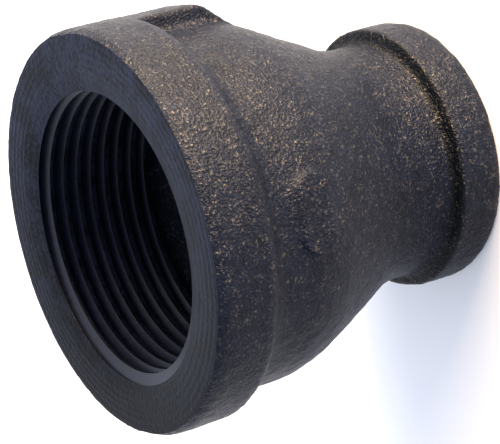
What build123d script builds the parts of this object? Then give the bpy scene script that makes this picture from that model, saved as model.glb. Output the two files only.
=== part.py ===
# Reducing coupling in black malleable iron, 1-1/4 inch to 3/4 inch taper pipe thread.
# One casting, machined on both end faces and tapped at both ends.
# Millimetres. The origin is the centre of the small end face, and Z runs along the bore to the large end.
import os
from math import atan, cos, degrees, radians, tan

from build123d import *

inch = 25.4

# Casting, outside
length = 52.3
large_band_radius = 28.0
large_band_width = 8.7
body_radius = 25.4
neck_radius = 16.9
small_band_radius = 18.9
small_band_width = 6.9
large_step_slope = 1.5  # axial length of the sloped step behind each band
small_step_slope = 0.4
cone_angle = 25.4  # degrees between the cone and the bore axis
cone_foot = 13.9  # height at which the cone would meet the neck

# Casting, inside
chamber_radius = 21.6
neck_chamber_radius = 13.6
cone_wall = 3.7

# Casting radii
band_face_round = 0.8
band_back_round = 1.0
large_band_fillet = 2.2
small_band_fillet = 0.8
neck_blend = 12.0
shoulder_blend = 16.0
chamber_round = 0.8
chamber_shoulder_blend = 4.0
chamber_neck_blend = 6.0

# Taper pipe thread: 1 in 16 on diameter, 60 degree form, right-hand
taper = 1 / 32  # change of radius for each millimetre along the bore
flank_angle = 30.0
thread_height_share = 0.8  # thread height over pitch
root_flat_share = 0.033  # width of the flat at the root over pitch
cutter_relief = 0.4  # reach of the cutter inside the bore wall
tooth_angle = 90  # degrees round the bore from the rib to the first tooth of each thread

# Large end: 1-1/4 inch, 11.5 threads per inch
large_pitch = inch / 11.5
large_bore_radius = 19.36
large_root_radius = 20.99  # at the end face
large_mouth_radius = 22.3
large_mouth_depth = 1.0
large_thread_length = 18.1
large_turns = 10
large_lead = 1.38  # pitches from the first tooth to the inner end of the thread

# Small end: 3/4 inch, 14 threads per inch
small_pitch = inch / 14
small_bore_radius = 12.05
small_root_radius = 13.28  # at the end face
small_mouth_radius = 14.2
small_mouth_depth = 0.8
small_thread_length = 13.3
small_turns = 10
small_lead = 1.2  # pitches from the first tooth to the end face

# Grip rib, level with the large band
rib_width = 8.0
rib_level_end = 18.3  # from the large end face to the end of the level top
rib_toe = 24.6  # from the large end face to the foot of the slope
rib_root_radius = 23.0  # inside the casting wall

# Plain raised pad, a quarter turn round from the rib
pad_width = 11.0
pad_height = 5.2
pad_middle = 35.2
pad_radius = 25.85
pad_root_radius = 23.5  # inside the casting wall
pad_edge_round = 0.3

# Heights and radii that follow from the sizes above
large_band_back = length - large_band_width
large_step = large_band_back - large_step_slope
large_thread_end = length - large_thread_length
small_step = small_band_width + small_step_slope
cone_slope = tan(radians(cone_angle))
cone_head = cone_foot + (body_radius - neck_radius) / cone_slope
inner_cone_radius = neck_radius - cone_wall / cos(radians(cone_angle))
chamber_foot = cone_foot + (neck_chamber_radius - inner_cone_radius) / cone_slope
chamber_head = cone_foot + (chamber_radius - inner_cone_radius) / cone_slope


def thread_turn(pitch, low, low_root_radius, growth, turned):
    # one full turn of a taper tap's tooth, climbing one pitch from the height low
    height = thread_height_share * pitch
    root = root_flat_share * pitch / 2
    crest = root + height * tan(radians(flank_angle))
    with BuildPart(mode=Mode.PRIVATE) as cutter:
        with BuildLine() as path:
            Helix(
                pitch=pitch,
                height=pitch,
                radius=low_root_radius,
                center=(0, 0, low),
                cone_angle=degrees(atan(growth)),
            )
        start = Plane(origin=path.line @ 0, x_dir=(1, 0, 0), z_dir=path.line % 0)
        with BuildSketch(start):
            with BuildLine():
                Polyline(
                    (0, -root),
                    (0, root),
                    (-height, crest),
                    (-height - cutter_relief, crest),
                    (-height - cutter_relief, -crest),
                    (-height, -crest),
                    close=True,
                )
            make_face()
        sweep(path=path.line, is_frenet=True)
    return cutter.part.rotate(Axis.Z, turned)


with BuildPart() as rib:
    with BuildSketch(Plane.XZ):
        with BuildLine():
            Polyline(
                (rib_root_radius, large_band_back + band_back_round),
                (large_band_radius + 1, large_band_back + band_back_round),
                (large_band_radius + 1, length - rib_level_end + 1 / cone_slope),
                (large_band_radius, length - rib_level_end),
                (rib_root_radius, length - rib_toe),
                close=True,
            )
        make_face()
    extrude(amount=rib_width / 2, both=True)
    Cylinder(radius=large_band_radius, height=4 * length, mode=Mode.INTERSECT)

with BuildPart() as pad:
    with BuildSketch(Plane.XZ.offset(pad_root_radius)):
        with Locations((0, pad_middle)):
            SlotOverall(pad_width, pad_height)
    extrude(amount=large_band_radius - pad_root_radius)
    with Locations((0, 0, pad_middle)):
        Cylinder(radius=pad_radius, height=2 * pad_height, mode=Mode.INTERSECT)
    fillet(pad.faces().sort_by(Axis.Y)[0].edges(), pad_edge_round)

with BuildPart() as reducer_body:
    # the casting with its bores, turned about the bore axis
    with BuildSketch(Plane.YZ) as wall:
        with BuildLine():
            Polyline(
                (small_mouth_radius, 0),
                (small_band_radius, 0),
                (small_band_radius, small_band_width),
                (neck_radius, small_step),
                (neck_radius, cone_foot),
                (body_radius, cone_head),
                (body_radius, large_step),
                (large_band_radius, large_band_back),
                (large_band_radius, length),
                (large_mouth_radius, length),
                (large_bore_radius, length - large_mouth_depth),
                (large_bore_radius, large_thread_end),
                (chamber_radius, large_thread_end),
                (chamber_radius, chamber_head),
                (neck_chamber_radius, chamber_foot),
                (neck_chamber_radius, small_thread_length),
                (small_bore_radius, small_thread_length),
                (small_bore_radius, small_mouth_depth),
                close=True,
            )
        make_face()
        rounds = (
            (small_band_radius, 0, band_face_round),
            (small_band_radius, small_band_width, band_back_round),
            (neck_radius, small_step, small_band_fillet),
            (neck_radius, cone_foot, neck_blend),
            (body_radius, cone_head, shoulder_blend),
            (body_radius, large_step, large_band_fillet),
            (large_band_radius, large_band_back, band_back_round),
            (large_band_radius, length, band_face_round),
            (chamber_radius, large_thread_end, chamber_round),
            (chamber_radius, chamber_head, chamber_shoulder_blend),
            (neck_chamber_radius, chamber_foot, chamber_neck_blend),
        )
        for corner_radius, corner_height, size in rounds:
            corner = Vector(corner_radius, corner_height)
            fillet(wall.vertices().sort_by_distance(corner)[0], size)
    revolve(axis=Axis.Z)

    # grip rib and pad, cast in one with the body
    add(rib.part)
    add(pad.part)

    # large thread, opening out from the chamber to the end face
    for turn in range(large_turns):
        low = large_thread_end + (turn - large_lead) * large_pitch
        root_radius = large_root_radius - taper * (length - low)
        tooth = thread_turn(large_pitch, low, root_radius, taper, tooth_angle)
        add(tooth, mode=Mode.SUBTRACT)

    # small thread, closing in from the end face to the chamber
    for turn in range(small_turns):
        low = (turn - small_lead) * small_pitch
        root_radius = small_root_radius - taper * low
        tooth = thread_turn(small_pitch, low, root_radius, -taper, tooth_angle)
        add(tooth, mode=Mode.SUBTRACT)

reducer_body.part.label = "reducer_body"
os.makedirs("parts", exist_ok=True)
export_step(reducer_body.part, "parts/reducer_body.step")
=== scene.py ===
import math

import bpy
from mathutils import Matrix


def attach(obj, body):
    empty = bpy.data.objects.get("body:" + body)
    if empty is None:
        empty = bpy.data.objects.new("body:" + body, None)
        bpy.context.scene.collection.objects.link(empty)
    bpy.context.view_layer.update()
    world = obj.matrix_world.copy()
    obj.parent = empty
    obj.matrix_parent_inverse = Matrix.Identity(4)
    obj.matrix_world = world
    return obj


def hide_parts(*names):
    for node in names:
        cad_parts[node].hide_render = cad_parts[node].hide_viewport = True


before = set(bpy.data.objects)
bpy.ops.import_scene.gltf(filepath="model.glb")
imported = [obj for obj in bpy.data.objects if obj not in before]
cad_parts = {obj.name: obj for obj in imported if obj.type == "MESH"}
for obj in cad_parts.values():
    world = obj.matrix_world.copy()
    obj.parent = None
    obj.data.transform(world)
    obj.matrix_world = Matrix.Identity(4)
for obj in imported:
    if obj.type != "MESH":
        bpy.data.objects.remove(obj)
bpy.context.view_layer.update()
mm = 0.001

print("frame loaded")


def clearSelection():
    if bpy.context.mode != "OBJECT":
        bpy.ops.object.mode_set(mode="OBJECT")
    bpy.ops.object.select_all(action="DESELECT")


def workOn(piece):
    clearSelection()
    piece.select_set(True)
    bpy.context.view_layer.objects.active = piece


def pick(piece, kind, test):
    # selects the vertices or faces of a piece whose place passes the test, in millimetres
    bpy.ops.object.mode_set(mode="OBJECT")
    parts = piece.data.vertices if kind == "VERT" else piece.data.polygons
    for group in (piece.data.vertices, piece.data.edges, piece.data.polygons):
        group.foreach_set("select", [False] * len(group))
    for part in parts:
        place = (part.co if kind == "VERT" else part.center) / mm
        part.select = test(place)
    bpy.ops.object.mode_set(mode="EDIT")
    bpy.ops.mesh.select_mode(type=kind)


def finishWith(piece, kind, **settings):
    # adds a modifier and applies it
    workOn(piece)
    modifier = piece.modifiers.new(kind.title(), kind)
    for name, value in settings.items():
        setattr(modifier, name, value)
    bpy.ops.object.modifier_apply(modifier=modifier.name)


def drawProfile(name, corners):
    # a closed outline in the XZ plane, from (radius, height, rounding) corners in millimetres
    clearSelection()
    bpy.ops.mesh.primitive_plane_add(size=mm)
    piece = bpy.context.active_object
    piece.name = name
    bpy.ops.object.mode_set(mode="EDIT")
    bpy.ops.mesh.merge(type="CENTER")
    radius, height = corners[0][:2]
    bpy.ops.transform.translate(value=(radius * mm, 0, height * mm))
    for nextRadius, nextHeight, *_ in corners[1:] + corners[:1]:
        step = ((nextRadius - radius) * mm, 0, (nextHeight - height) * mm)
        bpy.ops.mesh.extrude_region_move(TRANSFORM_OT_translate={"value": step})
        radius, height = nextRadius, nextHeight
    bpy.ops.mesh.select_all(action="SELECT")
    bpy.ops.mesh.remove_doubles(threshold=0.001 * mm)
    for radius, height, *rounding in corners:
        if rounding:
            pick(piece, "VERT", lambda p: abs(p.x - radius) < 0.01 and abs(p.z - height) < 0.01)
            bpy.ops.mesh.bevel(offset=rounding[0] * mm, segments=8, affect="VERTICES")
    bpy.ops.object.mode_set(mode="OBJECT")
    return piece


def turn(piece, steps):
    # turns an outline round the bore axis into a closed solid
    workOn(piece)
    bpy.ops.object.mode_set(mode="EDIT")
    bpy.ops.mesh.select_all(action="SELECT")
    bpy.ops.mesh.spin(steps=steps, angle=2 * math.pi, center=(0, 0, 0), axis=(0, 0, 1))
    bpy.ops.mesh.select_all(action="SELECT")
    bpy.ops.mesh.remove_doubles(threshold=0.001 * mm)
    bpy.ops.mesh.normals_make_consistent(inside=False)
    bpy.ops.object.mode_set(mode="OBJECT")


def cutAway(piece, tool):
    finishWith(piece, "BOOLEAN", object=tool, operation="DIFFERENCE", solver="MANIFOLD")
    bpy.data.objects.remove(tool)


def linear(hexColour):
    channels = [int(hexColour[i:i + 2], 16) / 255 for i in (1, 3, 5)]
    return [c / 12.92 if c <= 0.04045 else ((c + 0.055) / 1.055) ** 2.4 for c in channels] + [1]


def addNode(material, kind, settings=None, **inputs):
    # adds a node with its settings; an input is a value, or the output socket that feeds it
    node = material.node_tree.nodes.new(kind)
    for name, value in (settings or {}).items():
        setattr(node, name, value)
    for name, value in inputs.items():
        place = int(name[1:]) if name[1:].isdigit() else name.replace("_", " ")
        if isinstance(value, bpy.types.NodeSocket):
            material.node_tree.links.new(value, node.inputs[place])
        else:
            node.inputs[place].default_value = value
    return node


# the casting as it leaves the mould, before machining: sizes in millimetres
casting = {
    "outline": [  # radius, height, rounding of the corner
        (17.6, 53.4), (17.6, 34.2, 0.8), (21.6, 34.2, 0.8), (21.6, 32.4, 0.7), (13.6, 15.6, 1.3),
        (13.6, 13.3, 0.6), (10.8, 13.3, 0.6), (10.8, -0.9),
        (17.6, -0.9, 1.2), (18.9, 0.9, 0.9), (18.9, 6.9, 0.5), (16.9, 7.3, 0.5), (16.9, 13.9, 2.7),
        (25.4, 31.8, 3.6), (25.4, 41.9, 1.4), (27.97, 43.5, 1.0), (27.97, 51.4, 0.8), (26.8, 53.4, 1.0),
    ],
    "steps": 360,
    "grid": 0.45,  # mesh size of the cast skin
    "soften": 2,
    "ribWidth": 8.0,
    "ribReach": (22.6, 27.95),
    "ribHeight": (27.7, 45.0),
    "ribShoulder": 34.0,  # where the slope leaves the level top
    "ribEase": 1.6,  # eased corner at the end of the level top
    "padSize": (11.0, 5.2),
    "padMiddle": 35.2,
    "padFace": 25.85,
    "padDepth": 3.0,
    "threadEnds": (34.2, 13.3),
    # height of the painted shade ring at the small band's step, in millimetres
    "stepShadeAt": 7.1,
}

blank = drawProfile("reducerCasting", casting["outline"])
turn(blank, casting["steps"])

# grip rib: a block with its outer end sloped back to the body, trimmed to the round of the band
low, high = casting["ribHeight"]
inner, outer = casting["ribReach"]
clearSelection()
bpy.ops.mesh.primitive_cube_add(
    size=1,
    location=((inner + outer) / 2 * mm, 0, (low + high) / 2 * mm),
    scale=((outer - inner) * mm, casting["ribWidth"] * mm, (high - low) * mm),
)
rib = bpy.context.active_object
bpy.ops.object.transform_apply(location=True, rotation=True, scale=True)
pick(rib, "VERT", lambda p: p.x > outer - 0.1 and p.z < low + 0.1)
bpy.ops.transform.translate(value=(0, 0, (casting["ribShoulder"] - low) * mm))
bpy.ops.mesh.select_mode(type="EDGE")
bpy.ops.mesh.bevel(offset=casting["ribEase"] * mm, segments=6, affect="EDGES")
clearSelection()
bpy.ops.mesh.primitive_cylinder_add(
    vertices=casting["steps"], radius=outer * mm, depth=80 * mm, location=(0, 0, 40 * mm),
)
envelope = bpy.context.active_object
finishWith(rib, "BOOLEAN", object=envelope, operation="INTERSECT", solver="EXACT")
bpy.data.objects.remove(envelope)

# plain raised pad, a short capsule seen from the front
clearSelection()
padWidth, padHeight = casting["padSize"]
padDepth = casting["padDepth"]
bpy.ops.mesh.primitive_cylinder_add(
    vertices=48, radius=padHeight / 2 * mm, depth=padDepth * mm, rotation=(math.pi / 2, 0, 0),
    location=(0, -(casting["padFace"] - padDepth / 2) * mm, casting["padMiddle"] * mm),
)
pad = bpy.context.active_object
bpy.ops.object.transform_apply(location=True, rotation=True, scale=True)
for side in (1, -1):
    pick(pad, "VERT", lambda p: p.x * side > 0.01)
    bpy.ops.transform.translate(value=(side * (padWidth - padHeight) / 2 * mm, 0, 0))
bpy.ops.object.mode_set(mode="OBJECT")

workOn(blank)
rib.select_set(True)
pad.select_set(True)
bpy.ops.object.join()
finishWith(blank, "REMESH", mode="VOXEL", voxel_size=casting["grid"] * mm)
finishWith(blank, "SMOOTH", factor=0.5, iterations=casting["soften"])
print("casting blank", len(blank.data.polygons))

# sand-cast skin: depth and size in millimetres, and the level of the noise that stays put
skin = {
    "sag": (0.22, 8.0, 0.8),  # slow unevenness of the mould wall
    "lumps": (0.14, 2.0, 0.8),
    "grain": (0.16, 0.8, 0.75),  # moulding sand
}
for name, (depth, size, level) in skin.items():
    texture = bpy.data.textures.new(name, "CLOUDS")
    texture.noise_scale = size * mm
    texture.noise_depth = 2
    finishWith(
        blank, "DISPLACE", texture=texture, texture_coords="LOCAL", direction="NORMAL",
        strength=depth * mm, mid_level=level,
    )
print("sand-cast skin done")

# machining: end faces, countersinks and bores
machining = {
    "largeFace": 52.3,
    "largeMouth": 22.3,
    "largeMouthDepth": 1.0,
    "largeBore": 19.36,
    "largeBoreEnd": 33.4,
    "smallMouth": 14.2,
    "smallMouthDepth": 0.8,
    "smallBore": 12.05,
    "smallBoreEnd": 14.2,
    "steps": 256,
    "largeReach": (34, 56),  # radius and height of the large reamer, clear of the casting
    "smallReach": (24, -4),
}
m = machining
reach, top = m["largeReach"]
tool = drawProfile("largeReamer", [
    (0, m["largeBoreEnd"]), (m["largeBore"], m["largeBoreEnd"]),
    (m["largeBore"], m["largeFace"] - m["largeMouthDepth"]),
    (m["largeMouth"], m["largeFace"]), (reach, m["largeFace"]), (reach, top), (0, top),
])
turn(tool, m["steps"])
cutAway(blank, tool)
reach, foot = m["smallReach"]
tool = drawProfile("smallReamer", [
    (0, foot), (reach, foot), (reach, 0), (m["smallMouth"], 0),
    (m["smallBore"], m["smallMouthDepth"]), (m["smallBore"], m["smallBoreEnd"]),
    (0, m["smallBoreEnd"]),
])
turn(tool, m["steps"])
cutAway(blank, tool)
print("faces and bores machined", len(blank.data.polygons))

# taper pipe threads, 1 in 16 on diameter: growth is the change of radius with height, start the first tooth
threads = {
    "large": {
        "pitch": 25.4 / 11.5, "rootAtFace": 20.99, "face": 52.3, "growth": 1 / 32,
        "start": 34.2 - 1.38 * 25.4 / 11.5,
    },
    "small": {
        "pitch": 25.4 / 14, "rootAtFace": 13.28, "face": 0.0, "growth": -1 / 32,
        "start": -1.2 * 25.4 / 14,
    },
}
# the tap's tooth: height and half root flat are shares of the pitch, relief is in millimetres
tooth = {"height": 0.8, "halfRoot": 0.0165, "flank": 30, "relief": 0.4, "turns": 10, "steps": 120}
for name, t in threads.items():
    rootAtZero = t["rootAtFace"] - t["growth"] * t["face"]  # the taper carried on to height zero
    height = tooth["height"] * t["pitch"]
    root = tooth["halfRoot"] * t["pitch"]
    crest = root + height * math.tan(math.radians(tooth["flank"]))
    core = rootAtZero - height - tooth["relief"]
    tap = drawProfile(name + "Tap", [
        (rootAtZero, t["start"] - root), (rootAtZero, t["start"] + root),
        (rootAtZero - height, t["start"] + crest), (core, t["start"] + crest),
        (core, t["start"] - crest), (rootAtZero - height, t["start"] - crest),
    ])
    workOn(tap)
    bpy.ops.object.mode_set(mode="EDIT")
    bpy.ops.mesh.select_all(action="SELECT")
    # first tooth on +Y
    bpy.ops.transform.rotate(value=-math.pi / 2, orient_axis="Z", center_override=(0, 0, 0))
    bpy.ops.object.mode_set(mode="OBJECT")
    finishWith(
        tap, "SCREW", axis="Z", angle=2 * math.pi, screw_offset=t["pitch"] * mm,
        iterations=tooth["turns"], steps=tooth["steps"], render_steps=tooth["steps"],
        use_smooth_shade=False,
    )
    bpy.ops.object.mode_set(mode="EDIT")
    bpy.ops.mesh.select_all(action="SELECT")
    bpy.ops.mesh.fill_holes(sides=8)
    bpy.ops.mesh.normals_make_consistent(inside=False)
    bpy.ops.object.mode_set(mode="OBJECT")
    heights = [v.co.z for v in tap.data.vertices]
    reach = (max(heights) - min(heights)) / mm
    finishWith(
        tap, "SIMPLE_DEFORM", deform_method="TAPER", deform_axis="Z",
        factor=t["growth"] / rootAtZero * reach,
    )
    cutAway(blank, tap)
print("threads cut", len(blank.data.polygons))

# the cut surfaces get their own finishes, found by where they lie
blank.data.materials.clear()
for finish in ("sandCastBlackIron", "turnedFaceIron", "tappedThreadIron"):
    blank.data.materials.append(bpy.data.materials.new(finish))
castIron, turnedIron, threadIron = blank.data.materials
for face in blank.data.polygons:
    centre = face.center / mm
    across = math.hypot(centre.x, centre.y)
    inLarge = across < m["largeMouth"] + 0.02 and centre.z > casting["threadEnds"][0]
    inSmall = across < m["smallMouth"] + 0.02 and centre.z < casting["threadEnds"][1]
    onEnd = abs(face.normal.z) > 0.99 and (centre.z > m["largeFace"] - 0.01 or centre.z < 0.01)
    depth, wide = centre.z, m["smallMouth"]
    narrow, mouthDepth = m["smallBore"], m["smallMouthDepth"]
    if inLarge:
        depth, wide = m["largeFace"] - centre.z, m["largeMouth"]
        narrow, mouthDepth = m["largeBore"], m["largeMouthDepth"]
    onLand = abs(across - narrow) < 0.02 and abs(face.normal.z) < 0.1
    onMouth = abs(depth / mouthDepth - (wide - across) / (wide - narrow)) < 0.02
    if onEnd or (inLarge or inSmall) and (onLand or onMouth):
        face.material_index = 1
    elif inLarge or inSmall:
        face.material_index = 2

workOn(blank)
bpy.ops.object.shade_smooth_by_angle(angle=math.radians(38))
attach(blank, "root")
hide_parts("reducer_body")
blank.data.calc_loop_triangles()
print("piece ready, triangles", len(blank.data.loop_triangles))


def startMaterial(material):
    material.use_nodes = True
    material.node_tree.nodes.clear()
    return addNode(material, "ShaderNodeTexCoord").outputs["Object"]


# black iron as it comes from a sand mould: oxide scale and oil make it a blue black that takes a
# broad soft shine, broken into sparks by the sand grain, and a few grain tips are worn to bare metal
place = startMaterial(castIron)
# sand of about 0.25 mm, drawn half as coarse again so that it shows
sand = addNode(
    castIron, "ShaderNodeTexNoise", Vector=place, Scale=1 / (0.38 * mm), Detail=2.0, Roughness=0.6,
)
clumps = addNode(
    castIron, "ShaderNodeTexNoise", Vector=place, Scale=1 / (1.4 * mm), Detail=3.0, Roughness=0.6,
)
patches = addNode(castIron, "ShaderNodeTexNoise", Vector=place, Scale=1 / (6 * mm), Detail=2.0)
height = addNode(
    castIron, "ShaderNodeMath", {"operation": "MULTIPLY_ADD"},
    _0=clumps.outputs["Fac"], _1=0.4, _2=sand.outputs["Fac"],
)
scale = addNode(castIron, "ShaderNodeValToRGB", Fac=height.outputs["Value"])
scale.color_ramp.elements[0].position = 0.5
scale.color_ramp.elements[0].color = linear("#030610")
scale.color_ramp.elements[1].position = 0.9
scale.color_ramp.elements[1].color = linear("#101626")
drift = addNode(
    castIron, "ShaderNodeMapRange", Value=patches.outputs["Fac"],
    From_Min=0.3, From_Max=0.7, To_Min=0.85, To_Max=1.15,
)
# painted shade: the skin is darkened in a narrow ring at the step of the small band, standing in for the
# shade that falls in that corner
level = addNode(castIron, "ShaderNodeSeparateXYZ", Vector=place).outputs["Z"]
offset = addNode(
    castIron, "ShaderNodeMath", {"operation": "SUBTRACT"}, _0=level, _1=casting["stepShadeAt"] * mm,
)
away = addNode(castIron, "ShaderNodeMath", {"operation": "ABSOLUTE"}, _0=offset.outputs["Value"])
stepShade = addNode(
    castIron, "ShaderNodeMapRange", Value=away.outputs["Value"],
    From_Min=0.4 * mm, From_Max=0.75 * mm, To_Min=0.2, To_Max=1.0,
)
shade = addNode(
    castIron, "ShaderNodeMath", {"operation": "MULTIPLY"},
    _0=drift.outputs["Result"], _1=stepShade.outputs["Result"],
)
colour = addNode(
    castIron, "ShaderNodeMix", {"data_type": "RGBA", "blend_type": "MULTIPLY"},
    _0=1.0, _6=scale.outputs["Color"], _7=shade.outputs["Value"],
)
wear = addNode(
    castIron, "ShaderNodeMapRange", Value=height.outputs["Value"],
    From_Min=0.81, From_Max=0.94, To_Min=0.0, To_Max=0.85,
)
bare = addNode(
    castIron, "ShaderNodeMix", {"data_type": "RGBA"},
    _0=wear.outputs["Result"], _6=colour.outputs[2], _7=linear("#504c44"),
)
bump = addNode(
    castIron, "ShaderNodeBump", Height=height.outputs["Value"], Strength=1.0, Distance=0.3 * mm,
)
shader = addNode(
    castIron, "ShaderNodeBsdfPrincipled", Base_Color=bare.outputs[2], Roughness=0.38,
    Metallic=wear.outputs["Result"], Normal=bump.outputs["Normal"], Specular_IOR_Level=0.1,
)
addNode(castIron, "ShaderNodeOutputMaterial", Surface=shader.outputs["BSDF"])

# end faces turned on a lathe: flatter than the casting, oiled over, with rings from the tool drawn
# 1 mm apart, coarser than real ones so that they show (a wave node repeats every 0.314 of its size)
place = startMaterial(turnedIron)
rings = addNode(
    turnedIron, "ShaderNodeTexWave", {"wave_type": "RINGS", "rings_direction": "Z"},
    Vector=place, Scale=1 / (3.2 * mm), Distortion=1.2, Detail=2.0, Detail_Scale=2.0,
)
pores = addNode(turnedIron, "ShaderNodeTexNoise", Vector=place, Scale=1 / (0.5 * mm), Detail=3.0)
stain = addNode(turnedIron, "ShaderNodeTexNoise", Vector=place, Scale=1 / (4 * mm), Detail=3.0)
mixed = addNode(
    turnedIron, "ShaderNodeMath", {"operation": "MULTIPLY_ADD"},
    _0=stain.outputs["Fac"], _1=0.8, _2=pores.outputs["Fac"],
)
tone = addNode(turnedIron, "ShaderNodeValToRGB", Fac=mixed.outputs["Value"])
tone.color_ramp.elements[0].position = 0.78
tone.color_ramp.elements[0].color = linear("#03050c")
tone.color_ramp.elements[1].position = 1.0
tone.color_ramp.elements[1].color = linear("#191e2e")
# painted shade: the turned surfaces get darker towards -X, the side away from the rib and the lamps
across = addNode(turnedIron, "ShaderNodeSeparateXYZ", Vector=place).outputs["X"]
sideShade = addNode(
    turnedIron, "ShaderNodeMapRange", Value=across,
    From_Min=-26 * mm, From_Max=20 * mm, To_Min=0.12, To_Max=1.0,
)
sideShadedTone = addNode(
    turnedIron, "ShaderNodeMix", {"data_type": "RGBA", "blend_type": "MULTIPLY"},
    _0=1.0, _6=tone.outputs["Color"], _7=sideShade.outputs["Result"],
)
relief = addNode(
    turnedIron, "ShaderNodeMath", {"operation": "MULTIPLY_ADD"},
    _0=rings.outputs["Fac"], _1=0.3, _2=pores.outputs["Fac"],
)
bump = addNode(turnedIron, "ShaderNodeBump", Height=relief.outputs["Value"], Strength=0.8, Distance=0.13 * mm)
shader = addNode(
    turnedIron, "ShaderNodeBsdfPrincipled", Base_Color=sideShadedTone.outputs[2], Roughness=0.45,
    Normal=bump.outputs["Normal"], Specular_IOR_Level=0.12,
)
addNode(turnedIron, "ShaderNodeOutputMaterial", Surface=shader.outputs["BSDF"])

# threads cut by a tap and left in cutting oil: darker and smoother than the skin, with a soft line
# of light along each crest
place = startMaterial(threadIron)
tear = addNode(threadIron, "ShaderNodeTexNoise", Vector=place, Scale=1 / (0.7 * mm), Detail=3.0)
tone = addNode(threadIron, "ShaderNodeValToRGB", Fac=tear.outputs["Fac"])
tone.color_ramp.elements[0].position = 0.3
tone.color_ramp.elements[0].color = linear("#04060f")
tone.color_ramp.elements[1].position = 0.75
tone.color_ramp.elements[1].color = linear("#0c1022")
bump = addNode(threadIron, "ShaderNodeBump", Height=tear.outputs["Fac"], Strength=0.5, Distance=0.05 * mm)
shader = addNode(
    threadIron, "ShaderNodeBsdfPrincipled", Base_Color=tone.outputs["Color"], Roughness=0.36,
    Normal=bump.outputs["Normal"], Specular_IOR_Level=0.4,
)
addNode(threadIron, "ShaderNodeOutputMaterial", Surface=shader.outputs["BSDF"])
print("finishes done")

# pale floor
clearSelection()
bpy.ops.mesh.primitive_plane_add(size=6, location=(0, 0, 0))
floor = bpy.context.active_object
floor.name = "studioFloor"
paper = bpy.data.materials.new("paleStudioPaper")
paper.use_nodes = True
paper.node_tree.nodes["Principled BSDF"].inputs["Base Color"].default_value = linear("#f7f7f7")
paper.node_tree.nodes["Principled BSDF"].inputs["Roughness"].default_value = 0.95
floor.data.materials.append(paper)

# soft studio light: metres and watts
studio = {
    "key": {"from": (0.49, -0.20, 0.045), "size": (0.40, 0.09), "power": 25.5, "colour": "#ffddb0"},
    "fill": {"from": (0.42, 0.02, 0.40), "size": (0.30, 0.30), "power": 3.0, "colour": "#fff6ea"},
}
for name, s in studio.items():
    lamp = bpy.data.lights.new(name, "AREA")
    lamp.shape = "RECTANGLE"
    lamp.size, lamp.size_y = s["size"]
    lamp.energy = s["power"]
    lamp.color = linear(s["colour"])[:3]
    holder = bpy.data.objects.new(name, lamp)
    bpy.context.scene.collection.objects.link(holder)
    holder.location = s["from"]
    aim = -holder.location
    aim.z += 0.026
    holder.rotation_euler = aim.to_track_quat("-Z", "Y").to_euler()

world = bpy.data.worlds.new("studio")
bpy.context.scene.world = world
world.use_nodes = True
world.node_tree.nodes["Background"].inputs["Color"].default_value = linear("#e8eeff")
world.node_tree.nodes["Background"].inputs["Strength"].default_value = 1.25
bpy.context.scene.view_settings.view_transform = "Standard"

camera = bpy.data.objects.new("camera", bpy.data.cameras.new("camera"))
bpy.context.scene.collection.objects.link(camera)
camera.location = (46.79 * mm, -264.55 * mm, 186.55 * mm)
camera.rotation_euler = [math.radians(a) for a in (-25.335, 56.243, -108.888)]
camera.data.lens = 162.7
camera.data.sensor_width = 36
camera.data.clip_start = 0.01
bpy.context.scene.camera = camera
